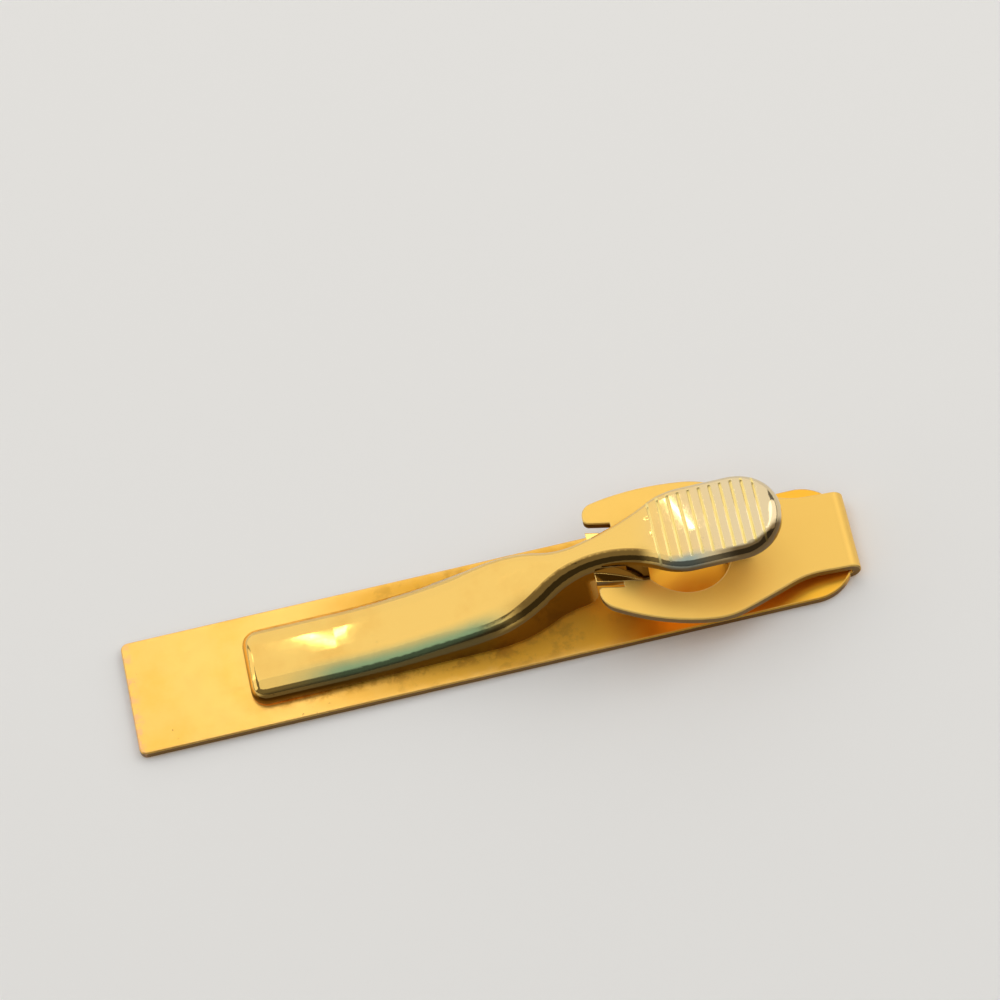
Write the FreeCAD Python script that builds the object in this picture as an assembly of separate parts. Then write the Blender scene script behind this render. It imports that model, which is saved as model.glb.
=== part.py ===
import FreeCAD, Part
import math
import os

# Tie clip, lying on its plain front face with the gripping side up.
# One strip of sheet brass makes the bar, the fold at one end and the tongue that runs back over the bar.
# A pressed lever rocks on two beads that hook up under the tongue, and a bent leaf spring keeps it shut.
# Millimetres. X runs along the bar towards the fold, Z up from the front face, origin under the middle.

# Bar: the front of the clip.
bar_length = 60.0
bar_width = 10.4
sheet = 0.75
bar_corner_radius = 0.6
edge_chamfer = 0.1

# Fold: the bar's end narrows to a neck, which turns back on itself.
neck_width = 7.1
neck_shoulder_radius = 3.45
fold_inner_radius = 0.2

# Tongue: a strip that lifts away from the bar in one gentle bow.
tongue_lift_deg = 4.5
tongue_bow_radius = 64.0
neck_length = 3.0
flare_deg = 23.5
flare_radius = 6.7
crescent_width = 13.0
crescent_radius = 6.7
horn_length = 8.5
horn_radius = 19.0
horn_tip_radius = 1.5

# Keyhole through the tongue: a round hole, and a mouth between the horns with a tab on each side.
hole_radius = 3.85
hole_setback = 13.8
mouth_width = 5.9
mouth_corner_radius = 0.4
mouth_depth = 2.1
tab_clearance = 0.2

# Beads of the lever, seated in grooves under the tabs.
pivot_setback = 18.0
bead_radius = 0.45
bead_seat_depth = 0.25
bead_clearance = 0.05
bead_span = 6.8

# Lever: a channel pressed from thinner sheet. Its places along X are measured from the beads.
lever_sheet = 0.6
jaw_reach = 31.9
jaw_width = 6.7
jaw_height = 1.6
jaw_corner_radius = 1.35
jaw_rest_gap = 0.05
jaw_flank_deg = 27.0
jaw_flank_share = 0.37
waist_lead = 3.6
waist_width = 2.8
pad_flank_deg = 30.0
pad_flank_share = 0.69
pad_reach = 12.95
pad_width = 7.5
pad_rise = 4.0
pad_wall = 1.4
pad_level_lead = 3.5
climb_deg = 21.0
climb_radius = 39.0
crest_radius = 21.0
crown_radius = 14.0
shoulder_radius = 1.1

# Side walls of the lever: deep cheeks along the jaw, then ears beside the tabs, then the shallow wall of the pad.
cheek_setback = 2.8
cheek_slope_deg = 1.2
cheek_corner_radius = 1.5
ear_lead = 1.5
ear_span = 4.6
ear_drop = 0.35
ear_corner_radius = 0.5

# Grip of the thumb pad: fine grooves pressed across it.
groove_count = 11
groove_pitch = 0.867
groove_start = 2.5
groove_width = 0.28
groove_depth = 0.1
groove_margin = 0.78

# Leaf spring: hooked over the edge of the hole, folded back and sprung up under the thumb pad.
spring_sheet = 0.3
spring_width = 2.0
spring_clearance = 0.03
spring_hook_depth = 0.9
spring_hook_radius = 0.4
spring_bend_radius = 0.6
spring_bend_setback = 3.5
spring_tip_lead = 5.6
spring_tip_radius = 1.2

# Overrun of every cutting shape.
over = 2.0


def vec(x, y, z):
    return FreeCAD.Vector(x, y, z)


def polar(radius, angle_deg):
    """Step in the XZ plane, with the angle measured from +X towards +Z."""
    angle = math.radians(angle_deg)
    return vec(radius * math.cos(angle), 0, radius * math.sin(angle))


def line(start, end):
    return Part.LineSegment(start, end).toShape()


def arc(start, centre, end):
    """Round stretch of less than half a turn from start to end."""
    across = (start - centre) + (end - centre)
    middle = centre + across * ((start - centre).Length / across.Length)
    return Part.Arc(start, middle, end).toShape()


def rounded_loop(corners):
    """Closed outline from (corner, radius) pairs, in order."""
    turns = []
    for index, (corner, radius) in enumerate(corners):
        back = corners[index - 1][0] - corner
        ahead = corners[(index + 1) % len(corners)][0] - corner
        half = back.getAngle(ahead) / 2
        back_unit = back * (1 / back.Length)
        ahead_unit = ahead * (1 / ahead.Length)
        reach = radius / math.tan(half)
        inward = back_unit + ahead_unit
        centre = corner + inward * (radius / math.sin(half) / inward.Length)
        turns.append((corner + back_unit * reach, centre, corner + ahead_unit * reach, radius))
    edges = []
    for index, (start, centre, end, radius) in enumerate(turns):
        edges.append(line(turns[index - 1][2], start))
        if radius > 0:
            edges.append(arc(start, centre, end))
    return Part.Wire(edges)


def mirrored(edges):
    """The edges and their images across the clip's middle plane."""
    return edges + [edge.mirror(vec(0, 0, 0), vec(0, 1, 0)) for edge in edges]


def face_of(edges):
    return Part.Face(Part.Wire(Part.__sortEdges__(edges)))


def prism(face, low, high):
    """Upright prism from a plan outline drawn at height zero."""
    return face.translated(vec(0, 0, low)).extrude(vec(0, 0, high - low))


def slab(wire, width):
    """Plate of that width from a side outline drawn on the middle plane."""
    return Part.Face(wire).translated(vec(0, -width / 2, 0)).extrude(vec(0, width, 0))


# Heights and places that several pieces share.
fold_x = bar_length / 2
fold_outer_radius = fold_inner_radius + sheet
fold_centre = vec(fold_x - fold_outer_radius, 0, fold_outer_radius)
bar_top = sheet
tongue_root = fold_centre + polar(fold_outer_radius, 90 - tongue_lift_deg)
bow_centre = tongue_root + polar(tongue_bow_radius, 90 - tongue_lift_deg)


def on_bow(radius, x):
    """Point at that X on a circle round the centre of the tongue's bow, on the side of the bar."""
    run = bow_centre.x - x
    return vec(x, 0, bow_centre.z - math.sqrt(radius ** 2 - run ** 2))


def bow_angle(x):
    """Direction from the tongue's top face at that X to the centre of its bow."""
    return math.degrees(math.acos((bow_centre.x - x) / tongue_bow_radius))


pivot_angle = bow_angle(fold_x - pivot_setback)
pivot_depth = sheet + bead_radius - bead_seat_depth
pivot = bow_centre - polar(tongue_bow_radius + pivot_depth, pivot_angle)
hole_x = fold_x - hole_setback
jaw_top = bar_top + jaw_height
pad_top = pivot.z + pad_rise
roof = pad_top + over


def bar_plan():
    """Bar seen from above, from the square end to the start of the fold."""
    half = bar_width / 2
    neck = neck_width / 2
    drop = half - neck
    shoulder_run = math.sqrt(neck_shoulder_radius ** 2 - (neck_shoulder_radius - drop) ** 2)
    shoulder_x = fold_centre.x - shoulder_run
    corner_x = -bar_length / 2 + bar_corner_radius
    edges = [
        line(vec(-bar_length / 2, 0, 0), vec(-bar_length / 2, half - bar_corner_radius, 0)),
        arc(vec(-bar_length / 2, half - bar_corner_radius, 0),
            vec(corner_x, half - bar_corner_radius, 0), vec(corner_x, half, 0)),
        line(vec(corner_x, half, 0), vec(shoulder_x, half, 0)),
        arc(vec(shoulder_x, half, 0), vec(shoulder_x, half - neck_shoulder_radius, 0),
            vec(fold_centre.x, neck, 0)),
        line(vec(fold_centre.x, neck, 0), vec(fold_centre.x, 0, 0)),
    ]
    return face_of(mirrored(edges))


def tongue_plan():
    """Tongue seen from above: neck, flare, crescent, horns and keyhole."""
    flare = math.radians(flare_deg)
    neck = neck_width / 2
    wide = crescent_width / 2
    neck_x = fold_x - neck_length
    flare_end = vec(neck_x - flare_radius * math.sin(flare), neck + flare_radius * (1 - math.cos(flare)), 0)
    swell_y = wide - crescent_radius * (1 - math.cos(flare))
    swell = vec(flare_end.x - (swell_y - flare_end.y) / math.tan(flare), swell_y, 0)
    widest = vec(swell.x - crescent_radius * math.sin(flare), wide, 0)
    horn_centre = widest - vec(0, horn_radius, 0)
    tip_x = widest.x - horn_length
    tip_run = horn_length - horn_tip_radius
    tip_rise = math.sqrt((horn_radius - horn_tip_radius) ** 2 - tip_run ** 2)
    tip_centre = horn_centre + vec(-tip_run, tip_rise, 0)
    tip_start = horn_centre + (tip_centre - horn_centre) * (horn_radius / (horn_radius - horn_tip_radius))
    tip_end = tip_centre - vec(horn_tip_radius, 0, 0)
    mouth = mouth_width / 2
    tab = ear_span / 2 + tab_clearance
    corner = vec(tip_x + mouth_corner_radius, mouth + mouth_corner_radius, 0)
    tab_x = tip_x + mouth_depth
    hole_meet = vec(hole_x - math.sqrt(hole_radius ** 2 - tab ** 2), tab, 0)
    hole_centre = vec(hole_x, 0, 0)
    hole_side = vec(hole_x, hole_radius, 0)
    edges = [
        line(vec(fold_x + over, 0, 0), vec(fold_x + over, neck, 0)),
        line(vec(fold_x + over, neck, 0), vec(neck_x, neck, 0)),
        arc(vec(neck_x, neck, 0), vec(neck_x, neck + flare_radius, 0), flare_end),
        line(flare_end, swell),
        arc(swell, widest - vec(0, crescent_radius, 0), widest),
        arc(widest, horn_centre, tip_start),
        arc(tip_start, tip_centre, tip_end),
        line(tip_end, vec(tip_x, corner.y, 0)),
        arc(vec(tip_x, corner.y, 0), corner, vec(corner.x, mouth, 0)),
        line(vec(corner.x, mouth, 0), vec(tab_x, mouth, 0)),
        line(vec(tab_x, mouth, 0), vec(tab_x, tab, 0)),
        line(vec(tab_x, tab, 0), hole_meet),
        arc(hole_meet, hole_centre, hole_side),
        arc(hole_side, hole_centre, vec(hole_x + hole_radius, 0, 0)),
    ]
    return face_of(mirrored(edges))


def tongue_side():
    """Side outline of the fold and the bowed tongue, left long at the horns."""
    end_x = fold_x - pivot_setback - horn_length
    under_radius = tongue_bow_radius + sheet
    top_end = on_bow(tongue_bow_radius, end_x)
    under_end = on_bow(under_radius, end_x)
    under_root = fold_centre + polar(fold_inner_radius, 90 - tongue_lift_deg)
    outer_foot = fold_centre - vec(0, 0, fold_outer_radius)
    inner_foot = fold_centre - vec(0, 0, fold_inner_radius)
    outer_fold = Part.Arc(outer_foot, fold_centre + vec(fold_outer_radius, 0, 0), tongue_root).toShape()
    inner_fold = Part.Arc(under_root, fold_centre + vec(fold_inner_radius, 0, 0), inner_foot).toShape()
    return Part.Wire([
        outer_fold,
        arc(tongue_root, bow_centre, top_end),
        line(top_end, under_end),
        arc(under_end, bow_centre, under_root),
        inner_fold,
        line(inner_foot, outer_foot),
    ])


def bead(radius, span):
    """Round bar across the clip on the lever's axis."""
    return Part.makeCylinder(radius, span, pivot - vec(0, span / 2, 0), vec(0, 1, 0))


def make_bar_and_tongue():
    bar = prism(bar_plan(), 0, bar_top).removeSplitter()
    level = [edge for edge in bar.Edges if edge.BoundBox.ZLength < edge_chamfer]
    bar_rim = [edge for edge in level if edge.BoundBox.XMin < fold_centre.x - edge_chamfer]
    tongue = slab(tongue_side(), bar_width + crescent_width).common(prism(tongue_plan(), -over, roof))
    along = [edge for edge in tongue.Edges if edge.BoundBox.XLength > edge_chamfer]
    tongue_rim = [edge for edge in along if abs(edge.CenterOfMass.y) > mouth_width / 2 - edge_chamfer]
    eased = tongue.makeChamfer(edge_chamfer, tongue_rim)
    strip = bar.makeChamfer(edge_chamfer, bar_rim).fuse(eased).removeSplitter()
    seat = bead(bead_radius + bead_clearance, bead_span + 2 * bead_clearance)
    return strip.cut(seat).Solids[0]


def lever_plan():
    """Lever seen from above: square jaw, narrow waist and round-ended thumb pad."""
    jaw_turn = math.radians(jaw_flank_deg)
    pad_turn = math.radians(pad_flank_deg)
    jaw = jaw_width / 2
    waist = waist_width / 2
    pad = pad_width / 2
    tip_x = pivot.x - jaw_reach
    waist_x = pivot.x - waist_lead
    pad_x = pivot.x + pad_reach - pad
    jaw_sum = (jaw - waist) / (1 - math.cos(jaw_turn))
    pad_sum = (pad - waist) / (1 - math.cos(pad_turn))
    jaw_hollow = jaw_sum * jaw_flank_share
    pad_hollow = pad_sum * pad_flank_share
    middle = vec(waist_x, waist, 0)
    jaw_hollow_centre = middle + vec(0, jaw_hollow, 0)
    pad_hollow_centre = middle + vec(0, pad_hollow, 0)
    jaw_meet = jaw_hollow_centre + vec(-math.sin(jaw_turn), -math.cos(jaw_turn), 0) * jaw_hollow
    pad_meet = pad_hollow_centre + vec(math.sin(pad_turn), -math.cos(pad_turn), 0) * pad_hollow
    jaw_end = vec(waist_x - jaw_sum * math.sin(jaw_turn), jaw, 0)
    pad_end = vec(waist_x + pad_sum * math.sin(pad_turn), pad, 0)
    corner = vec(tip_x + jaw_corner_radius, jaw - jaw_corner_radius, 0)
    edges = [
        line(vec(tip_x, 0, 0), vec(tip_x, corner.y, 0)),
        arc(vec(tip_x, corner.y, 0), corner, vec(corner.x, jaw, 0)),
        line(vec(corner.x, jaw, 0), jaw_end),
        arc(jaw_end, jaw_end - vec(0, jaw_sum - jaw_hollow, 0), jaw_meet),
        arc(jaw_meet, jaw_hollow_centre, middle),
        arc(middle, pad_hollow_centre, pad_meet),
        arc(pad_meet, pad_end - vec(0, pad_sum - pad_hollow, 0), pad_end),
        line(pad_end, vec(pad_x, pad, 0)),
        arc(vec(pad_x, pad, 0), vec(pad_x, 0, 0), vec(pad_x + pad, 0, 0)),
    ]
    return face_of(mirrored(edges))


def lever_spine(depth):
    """Middle line of the lever's top, or of the hollow that lies that far below it."""
    climb = math.radians(climb_deg)
    rise = pad_top - jaw_top
    run = (rise - (climb_radius + crest_radius) * (1 - math.cos(climb))) / math.tan(climb)
    crest = vec(pivot.x + pad_level_lead, 0, pad_top)
    crest_centre = crest - vec(0, 0, crest_radius)
    foot = vec(crest.x - (climb_radius + crest_radius) * math.sin(climb) - run, 0, jaw_top)
    foot_centre = foot + vec(0, 0, climb_radius)
    lean = vec(-math.sin(climb), 0, math.cos(climb))
    low = vec(0, 0, -depth)
    start = vec(pivot.x - jaw_reach - over, 0, jaw_top) + low
    end = vec(pivot.x + pad_reach + over, 0, pad_top) + low
    foot_end = foot_centre - lean * (climb_radius + depth)
    crest_start = crest_centre + lean * (crest_radius - depth)
    return Part.Wire([
        line(start, foot + low),
        arc(foot + low, foot_centre, foot_end),
        line(foot_end, crest_start),
        arc(crest_start, crest_centre, crest + low),
        line(crest + low, end),
    ])


def lever_mass(plan, depth):
    """Solid under the crowned top of the lever, within that plan, with its foot below the bar."""
    spine = lever_spine(depth)
    start = spine.Vertexes[0].Point
    half = (jaw_width + pad_width) / 2
    radius = crown_radius - depth
    crown_centre = start - vec(0, 0, radius)
    side = vec(0, half, math.sqrt(radius ** 2 - half ** 2))
    foot = vec(0, 0, -pad_top - over)
    near = crown_centre + vec(0, -side.y, side.z)
    far = crown_centre + side
    section = Part.Wire([
        arc(near, crown_centre, far),
        line(far, far + foot),
        line(far + foot, near + foot),
        line(near + foot, near),
    ])
    body = spine.makePipeShell([section], True, False)
    return body.common(prism(plan, -pad_top - over, roof))


def lever_walls():
    """Side outline that the lever's walls keep within."""
    ear_middle = tongue_bow_radius + ear_drop + lever_sheet / 2
    tip_x = pivot.x - jaw_reach - over
    cheek_x = pivot.x - cheek_setback
    ear_x = pivot.x + ear_lead
    end_x = pivot.x + pad_reach + over
    jaw_foot = bar_top + jaw_rest_gap
    cheek_foot = jaw_foot + (cheek_x - tip_x) * math.tan(math.radians(cheek_slope_deg))
    pad_foot = pad_top - pad_wall
    return rounded_loop([
        (vec(tip_x, 0, jaw_foot), 0),
        (vec(cheek_x, 0, cheek_foot), cheek_corner_radius),
        (on_bow(ear_middle, cheek_x), ear_corner_radius),
        (on_bow(ear_middle, ear_x), 0),
        (vec(ear_x, 0, pad_foot), ear_corner_radius),
        (vec(end_x, 0, pad_foot), 0),
        (vec(end_x, 0, roof), 0),
        (vec(tip_x, 0, roof), 0),
    ])


def lever_ears():
    """Flange beside the waist that lies level with the tongue and carries the beads."""
    inner = tongue_bow_radius + ear_drop
    outer = inner + lever_sheet
    start_x = pivot.x - cheek_setback
    end_x = pivot.x + ear_lead
    top = [on_bow(inner, start_x), on_bow(inner, end_x)]
    foot = [on_bow(outer, start_x), on_bow(outer, end_x)]
    outline = Part.Wire([
        arc(top[0], bow_centre, top[1]),
        line(top[1], foot[1]),
        arc(foot[1], bow_centre, foot[0]),
        line(foot[0], top[0]),
    ])
    return slab(outline, ear_span)


def beside_ears():
    """Room that the lever's walls leave for the tabs, on both sides of the ears."""
    half = ear_span / 2
    start = vec(pivot.x - cheek_setback, half, bar_top)
    length = cheek_setback + ear_lead + over
    block = Part.makeBox(length, pad_width, pad_top - pad_wall - bar_top, start)
    return Part.makeCompound([block, block.mirror(vec(0, 0, 0), vec(0, 1, 0))])


def grip_grooves(plan):
    """V-shaped grooves that follow the crown of the thumb pad and run out on its rounded shoulder."""
    reach = 2 * math.degrees(math.asin(pad_width / 2 / crown_radius))
    above = vec(0, 0, over)
    grooves = []
    for index in range(groove_count):
        foot = vec(pivot.x + groove_start + index * groove_pitch, 0, pad_top - groove_depth)
        centre = foot + vec(0, 0, groove_depth - crown_radius)
        lip = foot + vec(groove_width / 2, 0, groove_depth)
        far_lip = lip - vec(groove_width, 0, 0)
        profile = Part.makePolygon([foot, lip, lip + above, far_lip + above, far_lip, foot])
        profile.rotate(centre, vec(1, 0, 0), -reach / 2)
        grooves.append(Part.Face(profile).revolve(centre, vec(1, 0, 0), reach))
    within = prism(plan.makeOffset2D(-groove_margin), bar_top, roof)
    return Part.makeCompound(grooves).common(within)


def make_clip_lever():
    plan = lever_plan()
    blank = lever_mass(plan, 0)
    rim = [edge for edge in blank.Edges if edge.BoundBox.ZMin > bar_top]
    pressed = blank.makeFillet(shoulder_radius, rim)
    pressed = pressed.cut(grip_grooves(plan))
    walls = slab(lever_walls(), jaw_width + pad_width)
    pressed = pressed.common(walls).cut(beside_ears())
    solid = pressed.fuse([lever_ears(), bead(bead_radius, bead_span)])
    hollow = lever_mass(plan.makeOffset2D(-lever_sheet), lever_sheet)
    return solid.cut(hollow).removeSplitter().Solids[0]


def make_leaf_spring():
    radius = tongue_bow_radius - spring_clearance - spring_sheet / 2
    hook_reach = math.sqrt(hole_radius ** 2 - (spring_width / 2) ** 2)
    turn_x = hole_x + hook_reach - spring_clearance
    turn = on_bow(radius + spring_hook_radius, turn_x)
    turn_end = bow_centre + (turn - bow_centre) * (radius / (radius + spring_hook_radius))
    hook_top = turn - vec(spring_hook_radius, 0, 0)
    hook_foot = hook_top - vec(0, 0, spring_hook_depth)
    bend_start = on_bow(radius, pivot.x + pad_reach - spring_bend_setback)
    bend = bow_centre + (bend_start - bow_centre) * ((radius - spring_bend_radius) / radius)
    crown = crown_radius - lever_sheet
    crown_drop = crown - math.sqrt(crown ** 2 - (spring_width / 2) ** 2)
    ceiling = pad_top - lever_sheet - crown_drop - spring_clearance - spring_sheet / 2
    tip_end = vec(pivot.x + spring_tip_lead, 0, ceiling)
    tip = tip_end - vec(0, 0, spring_tip_radius)
    span = tip - bend
    lean = math.atan2(span.z, span.x) + math.asin((spring_bend_radius - spring_tip_radius) / span.Length)
    out = vec(math.sin(lean), 0, -math.cos(lean))
    leg_start = bend + out * spring_bend_radius
    leg_end = tip + out * spring_tip_radius
    bend_side = bend + vec(spring_bend_radius, 0, 0)
    path = Part.Wire([
        line(hook_foot, hook_top),
        arc(hook_top, turn, turn_end),
        arc(turn_end, bow_centre, bend_start),
        Part.Arc(bend_start, bend_side, leg_start).toShape(),
        line(leg_start, leg_end),
        arc(leg_end, tip, tip_end),
    ])
    corner = hook_foot + vec(-spring_sheet / 2, -spring_width / 2, 0)
    section = Part.makePlane(spring_sheet, spring_width, corner).OuterWire
    return path.makePipeShell([section], True, False)


os.makedirs("parts", exist_ok=True)
make_bar_and_tongue().exportStep("parts/bar_and_tongue.step")
make_clip_lever().exportStep("parts/clip_lever.step")
make_leaf_spring().exportStep("parts/leaf_spring.step")
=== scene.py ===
import bpy
import bmesh
import math
from mathutils import Matrix, Vector


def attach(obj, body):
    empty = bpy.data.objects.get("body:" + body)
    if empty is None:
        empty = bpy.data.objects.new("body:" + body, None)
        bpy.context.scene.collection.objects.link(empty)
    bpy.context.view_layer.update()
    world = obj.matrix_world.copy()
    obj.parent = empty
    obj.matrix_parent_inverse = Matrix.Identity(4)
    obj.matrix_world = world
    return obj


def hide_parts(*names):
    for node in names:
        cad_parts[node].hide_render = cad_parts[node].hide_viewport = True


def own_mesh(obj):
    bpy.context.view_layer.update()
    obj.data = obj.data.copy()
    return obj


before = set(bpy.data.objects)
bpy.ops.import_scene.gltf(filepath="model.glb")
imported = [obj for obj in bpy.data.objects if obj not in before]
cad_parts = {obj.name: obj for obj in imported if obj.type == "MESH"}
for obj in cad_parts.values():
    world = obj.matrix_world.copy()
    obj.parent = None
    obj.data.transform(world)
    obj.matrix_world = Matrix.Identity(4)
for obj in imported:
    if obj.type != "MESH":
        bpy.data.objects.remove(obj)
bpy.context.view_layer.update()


# ---- Bar and tongue --------------------------------------------------------------------------------------
# One strip of brass sheet makes the plain front bar, the tight fold at its neck and the tongue over the bar.
# It is pressed and folded, plated with gold and polished. Years of wear have left wipe marks, tarnish specks
# and bright, rubbed edges. The deeper orange and brown blotches under the lever and the tongue, the dark line
# beside the jaw and the dark cut edges are painted shade and painted reflection.


class Finish:
    """One socket of a finish. Sums of sockets add Math nodes, and node() adds any other node."""

    def __init__(self, tree, socket=None):
        self.tree = tree
        self.socket = socket

    def node(self, kind, settings, sockets, output=0):
        made = self.tree.nodes.new(kind)
        for name, value in settings.items():
            setattr(made, name, value)
        for name, value in sockets.items():
            if isinstance(value, Finish):
                self.tree.links.new(value.socket, made.inputs[name])
            else:
                made.inputs[name].default_value = value
        return Finish(self.tree, made.outputs[output])

    def math(self, operation, *others):
        return self.node("ShaderNodeMath", {"operation": operation}, dict(enumerate((self, *others))))

    def __add__(self, other):
        return self.math("ADD", other)

    __radd__ = __add__

    def __sub__(self, other):
        return self.math("SUBTRACT", other)

    def __rsub__(self, other):
        return self.node("ShaderNodeMath", {"operation": "SUBTRACT"}, {0: other, 1: self})

    def __mul__(self, other):
        return self.math("MULTIPLY", other)

    __rmul__ = __mul__

    def step(self, low, high):
        """0 below low, 1 above high, and a smooth change between them."""
        return self.node(
            "ShaderNodeMapRange",
            {"interpolation_type": "SMOOTHSTEP"},
            {"Value": self, "From Min": low, "From Max": high},
        )

    def cloud(self, size, detail=3.0, rough=0.55, stretch=(1.0, 1.0, 1.0), turn=0.0):
        """Soft random field on this place, with features of that size in metres, turned in plan."""
        laid = self.node(
            "ShaderNodeMapping",
            {"vector_type": "TEXTURE"},
            {"Vector": self, "Rotation": (0.0, 0.0, turn), "Scale": tuple(size * s for s in stretch)},
        )
        return self.node(
            "ShaderNodeTexNoise", {}, {"Vector": laid, "Scale": 1.0, "Detail": detail, "Roughness": rough}
        )

    def blend(self, low, high):
        """One colour where this share is 0 and the other where it is 1."""
        # A Mix node has sockets of the same name for each type, so those for colours go by number.
        low_colour, high_colour, blended = 6, 7, 2
        return self.node(
            "ShaderNodeMix",
            {"data_type": "RGBA"},
            {"Factor": self, low_colour: low, high_colour: high},
            blended,
        )

    def axis(self, letter):
        return self.node("ShaderNodeSeparateXYZ", {}, {"Vector": self}, letter)

    def feed(self, shader, name):
        self.tree.links.new(self.socket, shader.inputs[name])


def new_finish(name):
    """Empty metal finish: its material, its shader, and the place that every pattern is laid on."""
    material = bpy.data.materials.new(name)
    material.use_nodes = True
    shader = material.node_tree.nodes["Principled BSDF"]
    shader.inputs["Metallic"].default_value = 1.0
    place = Finish(material.node_tree).node("ShaderNodeTexCoord", {}, {}, "Object")
    return material, shader, place


def layered(colour, layers):
    """Lays finishes over a colour. Each has a mask, the share of it that shows, and its own colour."""
    for mask, share, laid in layers:
        colour = (mask * share).blend(colour, laid)
    return colour


def wipe_marks(place):
    """Hairlines that a cloth leaves: many along the sheet, and fewer at a slant and across it."""
    along = place.cloud(size=0.00012, detail=2.0, rough=0.5, stretch=(60.0, 1.0, 1.0), turn=0.06)
    slant = place.cloud(size=0.00010, detail=2.0, rough=0.5, stretch=(45.0, 1.0, 1.0), turn=0.95)
    cross = place.cloud(size=0.00011, detail=2.0, rough=0.5, stretch=(1.0, 45.0, 1.0), turn=0.25)
    return along.step(low=0.60, high=0.72) + slant.step(low=0.66, high=0.76) + cross.step(low=0.67, high=0.77)


def tarnish_specks(place, size):
    """Small dark specks that gather in loose patches."""
    dots = place.cloud(size, detail=2.0, rough=0.5)
    patches = place.cloud(size=0.004)
    return dots.step(low=0.71, high=0.77) * patches.step(low=0.52, high=0.66)


def rubbed_edge(place, radius):
    """Normal rounded over the sheet's cut edges, and a mask that is 1 along them."""
    soft = place.node("ShaderNodeBevel", {"samples": 6}, {"Radius": radius})
    true = place.node("ShaderNodeNewGeometry", {}, {}, "Normal")
    agree = place.node("ShaderNodeVectorMath", {"operation": "DOT_PRODUCT"}, {0: soft, 1: true}, "Value")
    return soft, (1.0 - agree).step(low=0.01, high=0.12)


def cut_side(place):
    """1 on walls and cut edges, which stand upright, and 0 on the sheet's faces and round the fold."""
    facing = place.node("ShaderNodeTexCoord", {}, {}, "Normal")
    lying = facing.axis("Z").math("ABSOLUTE").step(low=0.25, high=0.72)
    folded = facing.axis("X").step(low=0.60, high=0.80)
    return (1.0 - lying) * (1.0 - folded)


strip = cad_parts["bar_and_tongue"]
strip_gold = (0.950, 0.570, 0.140, 1.0)
strip_gold_deep = (0.930, 0.510, 0.090, 1.0)
strip_gold_raised = (0.960, 0.610, 0.130, 1.0)
strip_gold_painted_reflection = (0.960, 0.480, 0.020, 1.0)
strip_gold_rubbed = (1.000, 0.800, 0.400, 1.0)
strip_tarnish = (0.300, 0.130, 0.035, 1.0)
strip_edge_painted_shade = (0.100, 0.045, 0.010, 1.0)
strip_bare_brass = (0.820, 0.430, 0.260, 1.0)
strip_lever_painted_reflection = (0.520, 0.240, 0.030, 1.0)
strip_jaw_painted_shadow = (0.500, 0.190, 0.015, 1.0)
strip_roughness = 0.28
strip_specular = 0.25
strip_edge_radius = 0.00010
strip_relief = 0.00003
strip_relief_strength = 0.13
# Each pair is a band, in metres along, out from the middle or up, over which a tint, a wear or a painted
# shade comes in or fades out.
tongue_above = (0.0009, 0.0010)
bar_end_worn = (0.0291, 0.0299)
under_lever_along = (-0.0170, -0.0040)
under_lever_out = (0.0043, 0.0056)
below_tongue_along = (0.0060, 0.0120)
contact_inner = (0.0030, 0.0034)
contact_outer = (0.0037, 0.0043)
contact_tip = (-0.0190, -0.0170)
contact_root = (0.0000, 0.0030)
ragged_reach = 0.0012

strip_gilt, shader, place = new_finish("gilt_strip_worn")
along = place.axis("X")
across = place.axis("Y")
aside = across.math("ABSOLUTE")
marks = wipe_marks(place)
mottle = place.cloud(size=0.006, detail=5.0, rough=0.62)
grime = place.cloud(size=0.0011, detail=4.0, rough=0.7)
normal, edge = rubbed_edge(place, strip_edge_radius)
side = cut_side(place)
ragged = (grime - 0.5) * ragged_reach
raised = place.axis("Z").step(*tongue_above)
worn_end = (ragged - along).step(*bar_end_worn) * grime.step(low=0.46, high=0.60)
under_lever = (along + ragged).step(*under_lever_along) * (1.0 - (aside + ragged).step(*under_lever_out))
below_tongue = along.step(*below_tongue_along)
# Under the lever and the tongue the bar is painted deeper orange: painted reflection of the gold above, and
# painted shade.
sheltered = under_lever.math("MAXIMUM", below_tongue) * (1.0 - raised)
# Under the lever the bar gets brown blotches as painted reflection and painted shade of the lever,
# and is made duller and less metallic.
shaded_under_lever = sheltered * (1.0 - below_tongue)
specks = tarnish_specks(place, size=0.00042) * (1.0 - 0.8 * sheltered)
blotches = place.cloud(size=0.0020, detail=5.0, rough=0.65).step(low=0.50, high=0.64) * shaded_under_lever
# A mottled dark line is painted where the near side of the jaw meets the bar: painted shadow and reflection
# of the jaw's wall.
toward = ragged - across
beside_jaw = toward.step(*contact_inner) * (1.0 - toward.step(*contact_outer))
jaw_length = along.step(*contact_tip) * (1.0 - along.step(*contact_root))
jaw_shadow_line = beside_jaw * jaw_length * grime.step(low=0.42, high=0.58) * (1.0 - raised)

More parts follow.
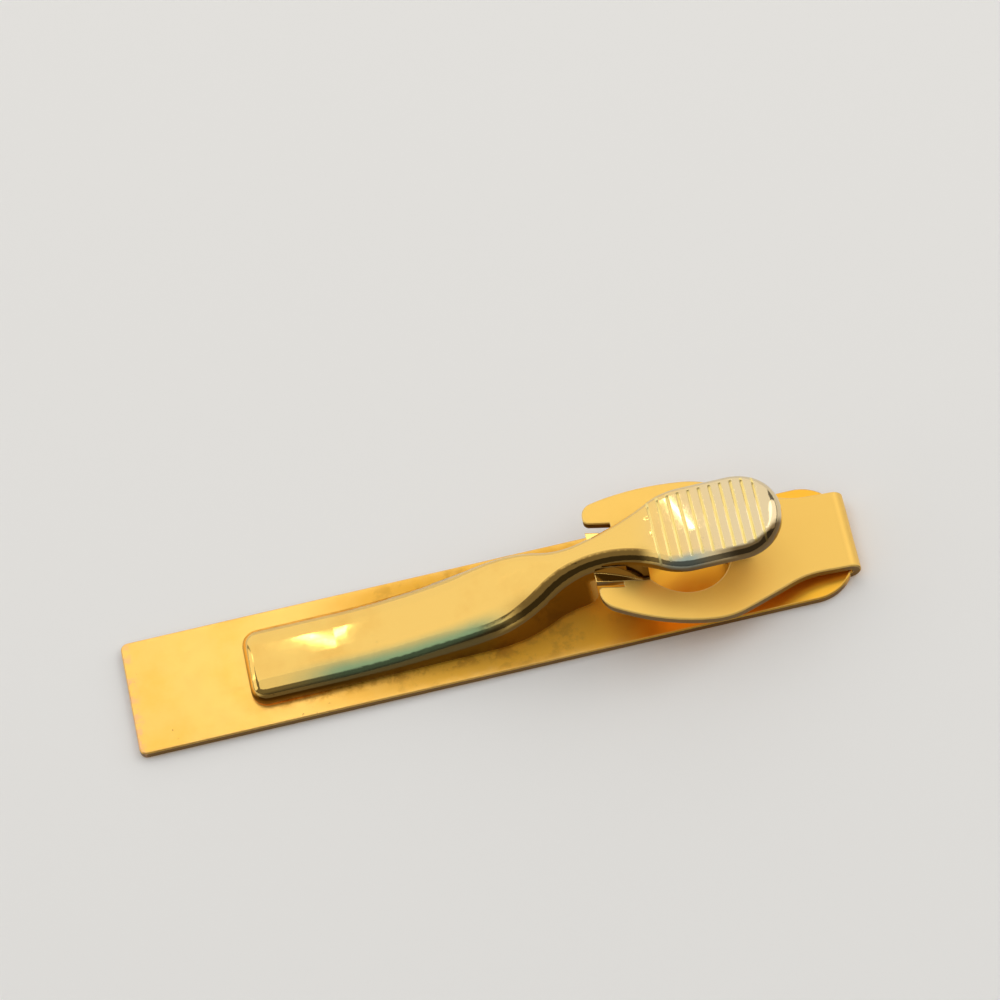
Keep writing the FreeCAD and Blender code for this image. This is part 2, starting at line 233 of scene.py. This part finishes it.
# The cut edges and upright sides are painted dark brown as painted shade.
colour = layered(strip_gold, (
    (mottle.step(low=0.42, high=0.72), 0.90, strip_gold_deep),
    (raised, 0.80, strip_gold_raised),
    (sheltered, 0.75, strip_gold_painted_reflection),
    (blotches, 0.40, strip_lever_painted_reflection),
    (jaw_shadow_line, 0.50, strip_jaw_painted_shadow),
    (side, 0.85, strip_edge_painted_shade),
    (edge, 0.60, strip_gold_rubbed),
    (worn_end, 0.60, strip_bare_brass),
    (specks, 0.70, strip_tarnish),
))
dusty = grime.step(low=0.35, high=0.80)
roughness = strip_roughness + 0.06 * dusty + 0.04 * marks + 0.2 * specks + 0.12 * raised + 0.20 * shaded_under_lever
metallic = 1.0 - 0.4 * raised - 0.75 * shaded_under_lever
height = marks * -0.35 + mottle * 0.5 + grime * 0.15 - specks * 0.5
bump = place.node(
    "ShaderNodeBump",
    {},
    {"Strength": strip_relief_strength, "Distance": strip_relief, "Height": height, "Normal": normal},
)
colour.feed(shader, "Base Color")
roughness.feed(shader, "Roughness")
metallic.feed(shader, "Metallic")
bump.feed(shader, "Normal")
shader.inputs["Specular IOR Level"].default_value = strip_specular
strip.data.materials.clear()
strip.data.materials.append(strip_gilt)


# ---- Lever -----------------------------------------------------------------------------------------------
# A channel pressed from thinner brass sheet: jaw, waist, ribbed thumb pad, and ears with rolled beads that
# hook up under the tongue. It is plated with nickel and gold. The thumb has rubbed the gold off the pad down
# to the pale nickel, but gold is left in the grooves.
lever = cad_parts["clip_lever"]
lever_gold = (0.950, 0.620, 0.165, 1.0)
lever_gold_deep = (0.860, 0.480, 0.100, 1.0)
lever_gold_rubbed = (0.980, 0.780, 0.400, 1.0)
lever_tarnish = (0.300, 0.130, 0.035, 1.0)
lever_wall_painted_shade = (0.110, 0.056, 0.012, 1.0)
lever_green_painted_reflection = (0.260, 0.400, 0.210, 1.0)
lever_blue_painted_reflection = (0.320, 0.430, 0.400, 1.0)
pad_nickel = (0.800, 0.660, 0.410, 1.0)
pad_gold = (1.000, 0.800, 0.300, 1.0)
lever_roughness = 0.07
lever_edge_radius = 0.00010
lever_relief = 0.00003
lever_relief_strength = 0.03
# Each pair is a band, in metres along, out from the middle or up, over which a wear, a painted reflection or
# a painted shade comes or goes.
bead_along = (0.0080, 0.0088)
bead_top = (0.0050, 0.0056)
waist_start = (0.0000, 0.0030)
waist_end = (0.0125, 0.0140)
pad_tip = (0.0175, 0.0205)
green_out = (0.0011, 0.0026)
green_start = (-0.0185, -0.0120)
green_end = (-0.0020, 0.0020)
blue_out = (0.0024, 0.0032)
blue_start = (0.0130, 0.0150)
blue_end = (0.0165, 0.0190)
pad_rubbed_along = (0.0115, 0.0215)
pad_rubbed_up = (0.0068, 0.0074)
patchy_reach = 0.003
reflection_patchy = 0.2
# Sideways leans of the rolled shoulder over which its painted shade comes in.
waist_lean = (0.05, 0.25)
pad_lean = (0.25, 0.45)
jaw_near_lean = (0.50, 0.75)
jaw_far_lean = (0.70, 0.86)
# The grooves' places along the pad, their half width, and the band in which they run out.
groove_first = 0.014171
groove_last = 0.022841
groove_pitch = 0.000867
groove_half = 0.00014
groove_wall = (0.6 * groove_half, 1.1 * groove_half)
groove_out = (0.0029, 0.0031)
# Slight doming of the jaw and the pad: where each part starts, and its height per square metre, or its slope.
jaw_roll_from = 0.0014
jaw_tip_from = -0.01265
jaw_fade = (-0.0060, 0.0030)
jaw_roll_curve = 60.0
jaw_crown_curve = 30.0
jaw_tip_curve = 3.3
pad_rise_from = 0.0100
pad_crest_from = 0.01517
pad_rise_curve = 11.4
pad_crest_slope = 0.118
pad_crest_curve = 12.5

lever_gilt, shader, place = new_finish("gilt_lever_worn")
along = place.axis("X")
across = place.axis("Y")
aside = across.math("ABSOLUTE")
up = place.axis("Z")
marks = wipe_marks(place)
mottle = place.cloud(size=0.005, detail=5.0, rough=0.62)
grime = place.cloud(size=0.0009, detail=4.0, rough=0.7)
specks = tarnish_specks(place, size=0.00040)
normal, edge = rubbed_edge(place, lever_edge_radius)
patchy = (mottle - 0.5) * patchy_reach
spread = along + patchy
hooked = along.step(*bead_along) * (1.0 - up.step(*bead_top))

lean = 0.0 - place.node("ShaderNodeTexCoord", {}, {}, "Normal").axis("Y")
waist = spread.step(*waist_start) * (1.0 - along.step(*waist_end))
jaw = 1.0 - along.step(*waist_start)
jaw_lean = lean.step(*jaw_near_lean) + (0.0 - lean).step(*jaw_far_lean)
# Painted shade: walls, cut edges, the near lower shoulder of waist and pad and the jaw's lower shoulders go
# dark brown.
side = cut_side(place).math("MAXIMUM", lean.step(*waist_lean) * waist)
side = side.math("MAXIMUM", lean.step(*pad_lean) * spread.step(*pad_tip))
side = side.math("MAXIMUM", jaw_lean * jaw)

# Painted reflections along the near shoulder: a green band on the jaw and a blue one at the pad's corner.
near_side = 0.0 - across + patchy * reflection_patchy
green = near_side.step(*green_out) * spread.step(*green_start) * (1.0 - spread.step(*green_end))
blue = near_side.step(*blue_out) * spread.step(*blue_start) * (1.0 - spread.step(*blue_end))
worn = spread.step(*pad_rubbed_along) * up.step(*pad_rubbed_up)
after_first = (along - groove_first + groove_half).step(0.0, groove_half)
before_last = (groove_last + groove_half - along).step(0.0, groove_half)
ribbed = after_first * before_last * (1.0 - aside.step(*groove_out))
from_groove = (along - groove_first).math("PINGPONG", groove_pitch / 2)
groove = (1.0 - from_groove.step(*groove_wall)) * ribbed

colour = layered(lever_gold, (
    (mottle.step(low=0.45, high=0.80), 0.60, lever_gold_deep),
    (specks, 0.70, lever_tarnish),
    (worn, 0.92, pad_nickel),
    (groove, 1.00, pad_gold),
    (green, 0.95, lever_green_painted_reflection),
    (blue, 0.85, lever_blue_painted_reflection),
    (side * (1.0 - 0.7 * hooked), 0.90, lever_wall_painted_shade),
    (edge, 0.30, lever_gold_rubbed),
))
dusty = grime.step(low=0.35, high=0.80)
roughness = lever_roughness + 0.05 * dusty + 0.04 * marks + 0.2 * specks
roughness = roughness + 0.35 * groove + 0.35 * hooked + 0.08 * green
metallic = 1.0 - 0.5 * hooked
jaw_roll = (aside - jaw_roll_from).math("MAXIMUM", 0.0)
jaw_tip = (jaw_tip_from - along).math("MAXIMUM", 0.0)
jaw_fall = jaw_roll_curve * jaw_roll * jaw_roll + jaw_crown_curve * aside * aside
jaw_fall = jaw_fall + jaw_tip_curve * jaw_tip * jaw_tip
rise = (along - pad_rise_from).math("MAXIMUM", 0.0).math("MINIMUM", pad_crest_from - pad_rise_from)
crest = (along - pad_crest_from).math("MAXIMUM", 0.0)
pad_swell = pad_rise_curve * rise * rise + pad_crest_slope * crest - pad_crest_curve * crest * crest
swell = pad_swell - jaw_fall * (1.0 - along.step(*jaw_fade))
domed = place.node(
    "ShaderNodeBump", {}, {"Strength": 1.0, "Distance": 1.0, "Height": swell, "Normal": normal}
)
height = marks * -0.35 + grime * 0.05 - specks * 0.5
bump = place.node(
    "ShaderNodeBump",
    {},
    {"Strength": lever_relief_strength, "Distance": lever_relief, "Height": height, "Normal": domed},
)
colour.feed(shader, "Base Color")
roughness.feed(shader, "Roughness")
metallic.feed(shader, "Metallic")
bump.feed(shader, "Normal")
lever.data.materials.clear()
lever.data.materials.append(lever_gilt)


# ---- Leaf spring -----------------------------------------------------------------------------------------
# A narrow strip of spring steel, hooked over the edge of the tongue's hole, laid on the tongue and bent
# back up in a V. Its rounded tip pushes the thumb pad up. It is bare rolled steel.
spring_width = 0.0020
spring_sheet = 0.0003
spring_edge_ease = 0.00006
spring_edge_angle = 40.0
spring_weld = 1e-7
hook_foot = Vector((0.0194879, 0.0, 0.0021826))
hook_rise = Vector((0.0, 0.0, 0.0009))
hook_centre = Vector((0.0198879, 0.0, 0.0030826))
hook_turn = 102.828
bow_centre = Vector((0.0341459, 0.0, 0.0656998))
bow_turn = -1.052
bend_centre = Vector((0.0212437, 0.0, 0.0038103))
bend_turn = -148.345
leg_run = Vector((-0.0035599, 0.0, 0.0033701))
tip_centre = Vector((0.0172713, 0.0, 0.0067448))
tip_turn = -43.431
seat = Vector((0.0205500, 0.0, 0.0033460))
steel = (0.560, 0.545, 0.520, 1.0)
steel_dull = (0.330, 0.300, 0.260, 1.0)
steel_roughness = 0.24
steel_relief = 0.00002
steel_relief_strength = 0.2

sheet = bmesh.new()
half_width = Vector((0.0, spring_width / 2, 0.0))
near_corner = sheet.verts.new(hook_foot - half_width)
far_corner = sheet.verts.new(hook_foot + half_width)
front = [sheet.edges.new((near_corner, far_corner))]


def push(front, step):
    """Draws the strip straight on from its front edge."""
    grown = bmesh.ops.extrude_edge_only(sheet, edges=front)["geom"]
    points = [g for g in grown if isinstance(g, bmesh.types.BMVert)]
    bmesh.ops.translate(sheet, verts=points, vec=step)
    return [g for g in grown if isinstance(g, bmesh.types.BMEdge) and set(g.verts) <= set(points)]


def turn(front, centre, degrees, steps):
    """Bends the strip on from its front edge, round a centre."""
    ends = [v for e in front for v in e.verts]
    swept = bmesh.ops.spin(
        sheet, geom=front + ends, cent=centre, axis=(0.0, 1.0, 0.0), angle=math.radians(degrees), steps=steps
    )["geom_last"]
    return [g for g in swept if isinstance(g, bmesh.types.BMEdge)]


front = push(front, hook_rise)
front = turn(front, hook_centre, hook_turn, steps=8)
front = turn(front, bow_centre, bow_turn, steps=3)
front = turn(front, bend_centre, bend_turn, steps=12)
front = push(front, leg_run)
turn(front, tip_centre, tip_turn, steps=6)
bmesh.ops.remove_doubles(sheet, verts=sheet.verts, dist=spring_weld)
bmesh.ops.recalc_face_normals(sheet, faces=sheet.faces)
mesh = bpy.data.meshes.new("leaf_spring_strip")
sheet.to_mesh(mesh)
sheet.free()
for face in mesh.polygons:
    face.use_smooth = True
spring = bpy.data.objects.new("leaf_spring_strip", mesh)
bpy.context.scene.collection.objects.link(spring)
thick = spring.modifiers.new("thickness", "SOLIDIFY")
thick.thickness = spring_sheet
thick.offset = 0.0
eased = spring.modifiers.new("eased_edges", "BEVEL")
eased.affect = "EDGES"
eased.limit_method = "ANGLE"
eased.angle_limit = math.radians(spring_edge_angle)
eased.width = spring_edge_ease
eased.segments = 2
eased.profile = 0.5
eased.material = -1
eased.harden_normals = True

spring_steel, shader, place = new_finish("spring_steel_rolled")
rolled = place.cloud(size=0.00008, detail=2.0, rough=0.5, stretch=(1.0, 30.0, 1.0))
blotches = place.cloud(size=0.0014, detail=4.0, rough=0.65)
colour = blotches.step(low=0.40, high=0.75).blend(steel, steel_dull)
roughness = steel_roughness + 0.15 * rolled + 0.15 * blotches
bump = place.node(
    "ShaderNodeBump", {}, {"Strength": steel_relief_strength, "Distance": steel_relief, "Height": rolled}
)
colour.feed(shader, "Base Color")
roughness.feed(shader, "Roughness")
bump.feed(shader, "Normal")
mesh.materials.append(spring_steel)
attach(spring, "strip")
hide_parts("leaf_spring")
lean = (bow_centre - seat).normalized()
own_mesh(spring)


# ---- Studio ----------------------------------------------------------------------------------------------
# A pale matt table top under the clip, soft boxes above and round it, one narrow strip light and a dim room.
# The camera looks down at 60 degrees with a small roll, close to how such a small thing is photographed.
table_half = 1.5
table_drop = Vector((0.0, 0.0, -0.00002))
table_pale = (0.88, 0.87, 0.85, 1.0)
table_roughness = 0.75

table_top = bmesh.new()
bmesh.ops.create_grid(table_top, x_segments=1, y_segments=1, size=table_half)
bmesh.ops.translate(table_top, verts=table_top.verts, vec=table_drop)
mesh = bpy.data.meshes.new("table_top")
table_top.to_mesh(mesh)
table_top.free()
table = bpy.data.objects.new("table_top", mesh)
bpy.context.scene.collection.objects.link(table)
table_paint = bpy.data.materials.new("table_paint")
table_paint.use_nodes = True
shader = table_paint.node_tree.nodes["Principled BSDF"]
shader.inputs["Base Color"].default_value = table_pale
shader.inputs["Roughness"].default_value = table_roughness
mesh.materials.append(table_paint)

clip_middle = Vector((0.0, 0.0, 0.003))
white = (1.0, 1.0, 1.0)
cool_white = (0.96, 0.98, 1.0)
warm_white = (1.0, 0.985, 0.96)
lamp_white = (1.0, 0.97, 0.90)
room_white = (1.0, 0.98, 0.95, 1.0)
room_level = 0.16


def lamp(name, place, width, depth, level, tint):
    """Soft box of that size, aimed at the clip, whose face shines at that level."""
    light = bpy.data.lights.new(name, "AREA")
    light.shape = "RECTANGLE"
    light.size = width
    light.size_y = depth
    light.energy = level * math.pi * width * depth
    light.color = tint
    box = bpy.data.objects.new(name, light)
    box.location = place
    box.rotation_mode = "QUATERNION"
    box.rotation_quaternion = (clip_middle - Vector(place)).to_track_quat("-Z", "Y")
    bpy.context.scene.collection.objects.link(box)


lamp("back_softbox", (0.0, 0.31, 0.53), width=1.20, depth=0.74, level=0.82, tint=warm_white)
lamp("back_wall", (0.0, 0.75, 0.185), width=1.40, depth=0.404, level=0.80, tint=warm_white)
lamp("front_softbox", (0.0, -0.21, 0.54), width=0.90, depth=0.44, level=0.70, tint=cool_white)
lamp("left_softbox", (-0.70, -0.04, 0.24), width=0.50, depth=0.38, level=0.90, tint=white)
lamp("left_back_softbox", (-0.68, 0.36, 0.27), width=0.44, depth=0.50, level=0.90, tint=warm_white)
lamp("right_softbox", (0.58, 0.10, 0.36), width=0.60, depth=0.66, level=1.05, tint=warm_white)
lamp("strip_light", (-0.036, 0.294, 0.405), width=0.006, depth=0.240, level=10.0, tint=lamp_white)

world = bpy.data.worlds.new("dim_room")
world.use_nodes = True
room = world.node_tree.nodes["Background"]
room.inputs["Color"].default_value = room_white
room.inputs["Strength"].default_value = room_level
bpy.context.scene.world = world
bpy.context.scene.view_settings.view_transform = "Standard"

camera_elevation = math.radians(60.0)
camera_roll = math.radians(13.0)
camera_distance = 0.450
camera_lens = 200.0
camera_sensor = 36.0
camera_clip_start = 0.01
bar_middle = Vector((0.0, 0.0, 0.00075))
aim_right = 0.000745
aim_up = 0.009425
ahead = Vector((0.0, math.cos(camera_elevation), -math.sin(camera_elevation)))
level_up = Vector((0.0, math.sin(camera_elevation), math.cos(camera_elevation)))
level_right = Vector((1.0, 0.0, 0.0))
right = level_right * math.cos(camera_roll) - level_up * math.sin(camera_roll)
up = level_right * math.sin(camera_roll) + level_up * math.cos(camera_roll)
aim = bar_middle + right * aim_right + up * aim_up
lens = bpy.data.cameras.new("camera")
lens.lens = camera_lens
lens.sensor_width = camera_sensor
lens.clip_start = camera_clip_start
camera = bpy.data.objects.new("camera", lens)
stand = Matrix.Translation(aim - ahead * camera_distance)
camera.matrix_world = stand @ Matrix((right, up, -ahead)).transposed().to_4x4()
bpy.context.scene.collection.objects.link(camera)
bpy.context.scene.camera = camera
